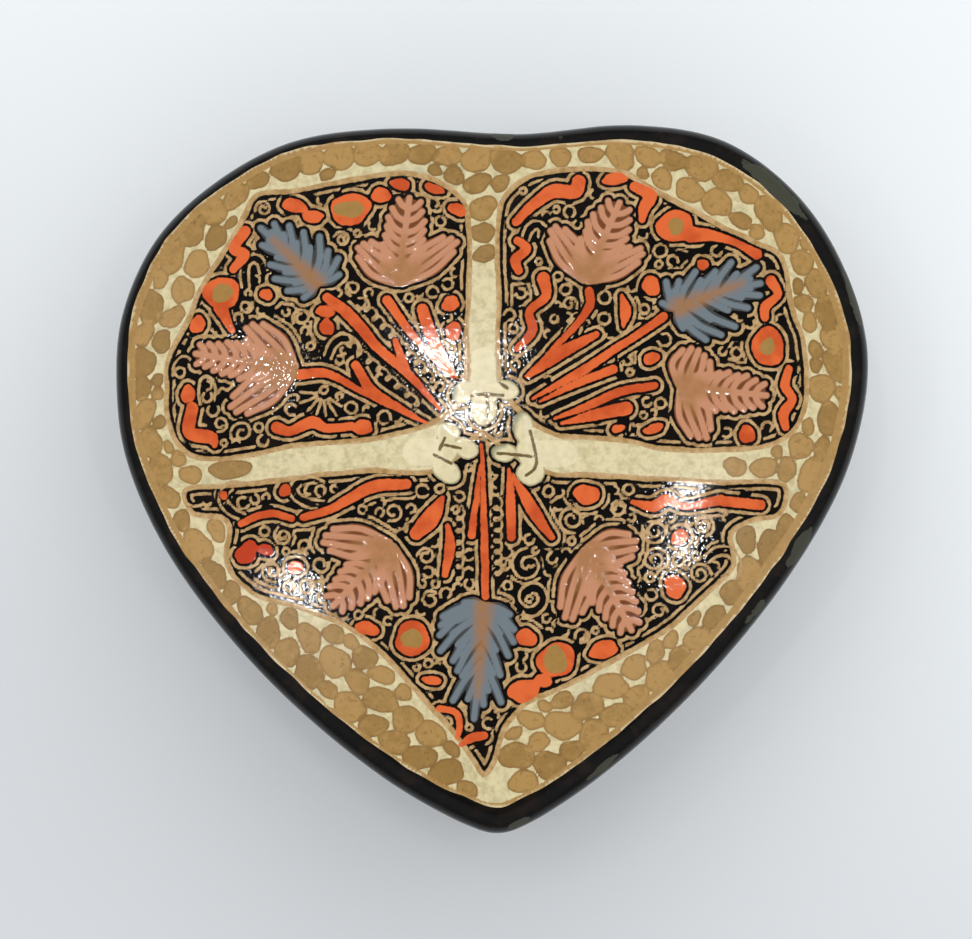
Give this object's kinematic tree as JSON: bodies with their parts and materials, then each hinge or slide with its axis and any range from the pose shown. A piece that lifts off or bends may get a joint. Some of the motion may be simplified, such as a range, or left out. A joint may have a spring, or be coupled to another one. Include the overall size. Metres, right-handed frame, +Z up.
{
  "type": "papier-mache trinket box",
  "caption": "Heart-shaped papier-mache trinket box with a domed lift-off lid over a raised collar, black lacquered and hand painted with leaves, flowers and gold scrollwork.",
  "frame": {"origin": "under the middle of the box, on the surface that it stands on", "axes": "+X across the two lobes of the heart, towards the right lobe; +Y from the tip towards the lobes; +Z up through the lid"},
  "size_m": [0.082, 0.0772, 0.0349],
  "materials": {
    "black_lacquer": "gloss",
    "painted_lacquer": "gloss"
  },
  "bodies": {
    "root": {"base": "black_lacquer", "lid": "painted_lacquer"}
  },
  "joints": []
}
